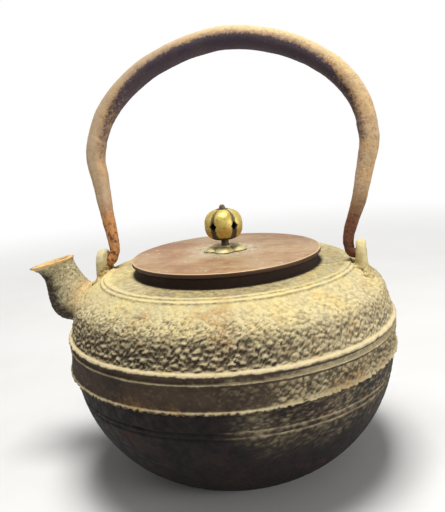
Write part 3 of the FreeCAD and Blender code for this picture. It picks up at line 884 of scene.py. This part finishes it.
def rusted_iron():
    """Cast iron under khaki dust with orange rust, lighter where it faces up as painted light, dark in
    its creases as painted shade.
    """
    paint = Paint("rusted_iron", specular=0.2)
    fine, specks, clouds = paint.cloud(0.9, 5.0), paint.cloud(2.6, 6.0, 0.7), paint.cloud(18.0, 5.0)
    dust_and_light, relief, rust, grit = (paint.mark(name) for name in ("dust_and_light", "relief", "rust", "grit"))
    cells, upward = gritty_cells(paint, grit)
    khaki = paint.coats(
        (228, 209, 146),
        (clouds, 0.38, 0.62, (214, 200, 154)),
        (paint.rise(), 96.0 * MM, 78.0 * MM, (216, 199, 157)),
        (specks, 0.5, 0.72, 0.6, (236, 218, 160)),
        (paint.mark("grey"), (200, 190, 156)),
        (paint.cloud(8.0, 5.0, 0.65), 0.5, 0.7, 0.4, (204, 162, 100)))
    orange = paint.coats((160, 104, 52), (fine, 0.35, 0.7, (210, 162, 84)))
    # The khaki share: dust and painted light, less in creases and more on the grit's up-facing sides as
    # painted light from above
    lit = relief.fade(0.1, 0.9, start=0.85) * dust_and_light + specks.fade(0.3, 0.7, 0.12, -0.12) + upward * 1.1
    patch = rust.fade(0.66, 0.92) * specks.fade(0.38, 0.6) * dust_and_light.fade(0.1, 0.6, 0.6, 0.25)
    base = paint.coats(
        (48, 38, 34),
        (clouds, 0.35, 0.65, (80, 66, 54)),
        (lit, 0.0, 1.0, khaki),
        (patch, orange),
        # Painted shade in the pebbles' creases, and the dark pits of the skin
        (relief, 0.5, 0.05, 0.65, (48, 39, 33)),
        (fine, 0.42, 0.3, 0.3, (84, 68, 52)),
        # Painted shade in the grit's creases
        (cells.fade(0.42, 0.7, 0.14) * grit, (72, 60, 48)),
        # The collar: dark iron and painted shade under the lid's rim
        (paint.mark("collar"), (48, 36, 31)),
        # Tan: painted light on the spout's lip and on its inner wall near the lip, and a tan patch near
        # its root
        (paint.mark("tan"), (226, 188, 128)))
    height = fine + specks * 1.6 - cells * grit * 1.6
    return paint.finish(base, clouds.fade(0.3, 0.7, 0.95, 0.75), height=height, depth=0.3)


def dark_iron():
    """The bowl's smoother black-brown iron with brown bloom, painted darker as shade under the bowl."""
    paint = Paint("dark_iron", specular=0.2)
    fine, specks, clouds = paint.cloud(0.9, 5.0), paint.cloud(3.0, 6.0, 0.65), paint.cloud(22.0, 4.0)
    runs = paint.cloud(7.0, 5.0, 0.6, (1.0, 1.0, 0.25))
    patch = paint.mark("rust").fade(0.72, 0.95) * specks.fade(0.42, 0.62) * 0.3
    base = paint.coats(
        # Black-brown iron, painted darker still as shade under the bowl
        (18, 13, 14),
        (runs, 0.35, 0.68, (32, 24, 22)),
        (clouds, 0.5, 0.75, 0.5, (44, 28, 24)),
        (paint.mark("dust_and_light") * specks, 0.06, 0.5, (172, 156, 124)),
        (patch, (100, 58, 34)))
    return paint.finish(base, specks.fade(0.3, 0.7, 0.9, 0.6), height=fine + specks * 1.5, depth=0.25)


def forged_iron():
    """The bail: tan rust lightening to a cream painted highlight on top, purple-brown iron with painted
    shade beneath, orange and red rust on its feet.
    """
    paint = Paint("forged_iron", specular=0.25)
    fine, specks, clouds = paint.cloud(0.8, 5.0), paint.cloud(2.2, 6.0, 0.7), paint.cloud(15.0, 4.0)
    dust_and_light, relief, foot, left = (paint.mark(name) for name in ("dust_and_light", "relief", "foot", "left"))
    tan = paint.coats(
        (190, 152, 108),
        (clouds, 0.36, 0.62, (174, 146, 116)),
        (specks, 0.42, 0.3, 0.4, (132, 102, 82)))
    cream = paint.coats((222, 194, 144), (left, (190, 165, 132)))
    red = paint.coats((62, 30, 22), (fine, 0.4, 0.6, (112, 56, 32)))
    # Dust and painted light of the bail, which lay tan and then a cream painted highlight over the dark
    # iron
    wear_and_light = dust_and_light + specks.fade(0.3, 0.7, 0.13, -0.13) + fine.fade(0.3, 0.7, 0.1, -0.1)
    low = specks + foot
    spots = specks.fade(0.5, 0.4) * foot.fade(0.0, 1.0, 0.9, 0.1)
    holes = relief.fade(0.8, 0.2) * foot.fade(0.0, 1.0, start=0.15)
    blots = low.fade(0.95, 1.4) * left.fade(0.6, 0.2, 0.85)
    base = paint.coats(
        # Purple-brown iron, with painted shade beneath the bail
        (60, 51, 62),
        (clouds, 0.35, 0.65, (70, 59, 66)),
        (wear_and_light, 0.1, 0.6, tan),
        (wear_and_light, 0.5, 1.05, cream),
        (low.fade(0.6, 1.0) * left.fade(0.6, 0.2, 0.8), (116, 97, 74)),
        (low.fade(0.6, 1.15) * left.fade(0.2, 0.6, 0.8, 0.15), (194, 130, 70)),
        (spots.math("MAXIMUM", holes).math("MAXIMUM", blots), red))
    return paint.finish(base, specks.fade(0.3, 0.7, 0.88, 0.62), height=fine + specks * 1.3, depth=0.22)


def lid_copper():
    """Brown copper, satin, with pale rubbed streaks, a rim lighter on top from wear and a painted
    highlight, and a pale halo round the knob.
    """
    paint = Paint("lid_copper", specular=0.3)
    fine, specks, clouds = paint.cloud(0.9, 4.0), paint.cloud(3.0, 6.0, 0.7), paint.cloud(20.0, 5.0)
    streaks = paint.cloud(3.2, 5.0, 0.6, (0.22, 1.0, 1.0))
    halo = paint.from_axis().fade(halo_edge * MM, halo_core * MM) * specks.fade(0.32, 0.6)
    base = paint.coats(
        (146, 104, 70),
        (clouds, 0.4, 0.6, (168, 140, 104)),
        (streaks, 0.46, 0.68, 0.45, (184, 160, 120)),
        (streaks, 0.46, 0.3, 0.45, (138, 92, 62)),
        (halo * 0.75, (190, 182, 154)),
        (specks, 0.6, 0.68, 0.8, (212, 194, 164)),
        (specks, 0.42, 0.3, 0.5, (118, 84, 66)),
        (paint.mark("side"), (70, 50, 38)),
        # Rim top: wear and painted highlight
        (paint.mark("wear_and_light"), (204, 172, 134)))
    rough, metal = streaks.fade(0.3, 0.7, 0.62, 0.45), halo.fade(0.0, 1.0, 0.05, 0.3)
    return paint.finish(base, rough, metal, fine + streaks, 0.06)


def knob_brass():
    """Yellow brass rubbed bright on its lobes, brown in its grooves and towards its foot from tarnish and
    painted shade.
    """
    paint = Paint("knob_brass")
    fine, specks, clouds = paint.cloud(0.6, 4.0), paint.cloud(1.4, 5.0, 0.7), paint.cloud(5.0, 4.0)
    level = (paint.rise() - knob_z * MM).math("DIVIDE", lobe_half_height * MM)
    brass = paint.coats(
        (176, 148, 66),
        (clouds, 0.35, 0.65, (204, 186, 102)),
        # Browner towards the foot: painted shade under the lobes
        (level, 0.3, -0.5, 0.55, (174, 132, 52)),
        (specks, 0.5, 0.64, 0.6, (146, 108, 52)),
        (specks, 0.46, 0.34, 0.5, (134, 126, 74)))
    # Tarnish and painted shade: dark in the grooves and towards the foot
    tarnish_and_shade = paint.coats((50, 37, 24), (level, -0.2, 0.6, (96, 82, 48)))
    groove = level.fade(-0.8, 0.8, 0.9, 1.12) - paint.mark("crest")
    spread = groove.fade(0.36, 0.95) + (level + specks * 0.5).fade(-0.3, -0.7)
    base = paint.coats(brass, (spread + specks.fade(0.3, 0.7, 0.2, -0.2), 0.2, 0.75, tarnish_and_shade))
    metal = spread.fade(0.2, 0.8, 0.2, 0.5)
    return paint.finish(base, specks.fade(0.3, 0.7, 0.6, 0.38), metal, fine, 0.06)


def petal_brass():
    """Pale brass of the flower under the knob, dark along the petals' edges and between them, low down by
    the lid: painted shade.
    """
    paint = Paint("petal_brass")
    fine, specks, clouds = paint.cloud(0.6, 4.0), paint.cloud(1.6, 5.0, 0.7), paint.cloud(6.0, 4.0)
    level = paint.rise() + specks * (0.6 * MM)
    base = paint.coats(
        (192, 172, 112),
        (clouds, 0.35, 0.65, (210, 196, 142)),
        (specks, 0.45, 0.3, 0.6, (150, 136, 84)),
        # Painted shade low down by the lid, along the petals' edges and between them
        (level, (lid_edge_z + 1.75) * MM, (lid_edge_z + 1.15) * MM, (52, 42, 30)))
    return paint.finish(base, specks.fade(0.3, 0.7, 0.6, 0.4), 0.4, fine, 0.05)


def dark_brass():
    """Old brass gone dark, for the knob's stem and what lies under the lid."""
    paint = Paint("dark_brass")
    fine, clouds = paint.cloud(0.8, 4.0), paint.cloud(4.0, 5.0, 0.65)
    base = paint.coats((46, 36, 26), (clouds, 0.35, 0.65, (86, 68, 44)))
    return paint.finish(base, clouds.fade(0.3, 0.7, 0.65, 0.45), 0.6, fine, 0.05)


def place_piece(piece, body, material, slot, *nodes):
    """Paints a piece and puts it on its body, in place of the nodes that it stands for."""
    piece.data.materials.clear()
    piece.data.materials.append(material)
    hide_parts(*nodes)
    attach(piece, body)


def paint_node(node, material):
    """Paints a piece that stays as it comes from the source."""
    for slot in frame["nodes"][node].material_slots:
        slot.link = "OBJECT"
        slot.material = material


def dress():
    """Makes the materials and every piece that is not left as it comes."""
    iron, dark, forged = rusted_iron(), dark_iron(), forged_iron()
    copper, brass, petals, old_brass = lid_copper(), knob_brass(), petal_brass(), dark_brass()
    place_piece(upper_body(), "kettle", iron, "rusted_iron", "upper_body")
    place_piece(spout(), "kettle", iron, "rusted_iron", "spout")
    place_piece(ear(-1, "front_ear_cast"), "kettle", iron, "rusted_iron", "front_ear")
    place_piece(ear(1, "rear_ear_cast"), "kettle", iron, "rusted_iron", "rear_ear")
    place_piece(lower_bowl(), "kettle", dark, "dark_iron", "lower_bowl")
    place_piece(bail(), "bail", forged, "forged_iron", "bail")
    place_piece(lid(), "lid", copper, "lid_copper", "lid_plate")
    place_piece(knob_shell(), "knob", brass, "knob_brass", "knob_shell")
    paint_node("knob_seat", petals)
    paint_node("knob_pin", brass)
    for node in ("knob_stem", "lid_ring", "rivet_washer"):
        paint_node(node, old_brass)


def camera():
    """The camera at the photo's viewing angle."""
    data = bpy.data.cameras.new("camera")
    data.lens = camera_lens
    made = add_object("camera", data)
    made.matrix_world = (Matrix.Translation(camera_place) @ Matrix.Rotation(camera_heading, 4, "Z")
                         @ Matrix.Rotation(math.pi / 2 - camera_pitch, 4, "X")
                         @ Matrix.Rotation(-camera_roll, 4, "Z"))
    bpy.context.scene.camera = made


def seen_directly(tree):
    """1 for rays that show the background: from the camera, mirrored or through glass."""
    path = tree.nodes.new("ShaderNodeLightPath")
    total = path.outputs["Is Camera Ray"]
    for ray in ("Is Glossy Ray", "Is Transmission Ray"):
        higher = tree.nodes.new("ShaderNodeMath")
        higher.operation = "MAXIMUM"
        tree.links.new(total, higher.inputs[0])
        tree.links.new(path.outputs[ray], higher.inputs[1])
        total = higher.outputs["Value"]
    return total


def world():
    """White where it is seen, and an even light elsewhere."""
    made = bpy.data.worlds.new("studio")
    made.use_nodes = True
    tree = made.node_tree
    strength = tree.nodes.new("ShaderNodeMapRange")
    strength.inputs["To Min"].default_value = world_level
    tree.links.new(seen_directly(tree), strength.inputs["Value"])
    back = tree.nodes["Background"]
    back.inputs["Color"].default_value = white
    tree.links.new(strength.outputs["Result"], back.inputs["Strength"])
    bpy.context.scene.world = made


def floor():
    """A pale floor that takes the shadow and goes white further out."""
    mesh = bpy.data.meshes.new("floor")
    corners = [(x * floor_half, y * floor_half, 0) for x, y in ((-1, -1), (1, -1), (1, 1), (-1, 1))]
    mesh.from_pydata(corners, [], [(0, 1, 2, 3)])
    made = add_object("floor", mesh)
    paint = Paint("floor", specular=0.1)
    base = paint.coats((226, 225, 222), (paint.cloud(90.0, 3.0), 0.3, 0.7, (230, 229, 227)))
    paint.finish(base, 0.9)
    tree = paint.tree
    share = paint.from_axis().fade(*floor_fade) * Value(paint, seen_directly(tree))
    glow = paint.value("ShaderNodeEmission", "Emission", white, 1.0)
    mix = paint.node("ShaderNodeMixShader", share, Value(paint, paint.shader.outputs["BSDF"]), glow)
    tree.links.new(mix.outputs["Shader"], tree.nodes["Material Output"].inputs["Surface"])
    mesh.materials.append(paint.material)


def lamp(name, place, size, power):
    """A square soft lamp that faces the kettle's middle."""
    data = bpy.data.lights.new(name, "AREA")
    data.size = size
    data.energy = power
    made = add_object(name, data)
    made.location = place
    made.rotation_euler = (lamp_aim - Vector(place)).to_track_quat("-Z", "Y").to_euler()


dress()
camera()
world()
floor()
for name, settings in lamps.items():
    lamp(name, *settings)
bpy.context.scene.view_settings.view_transform = "Standard"
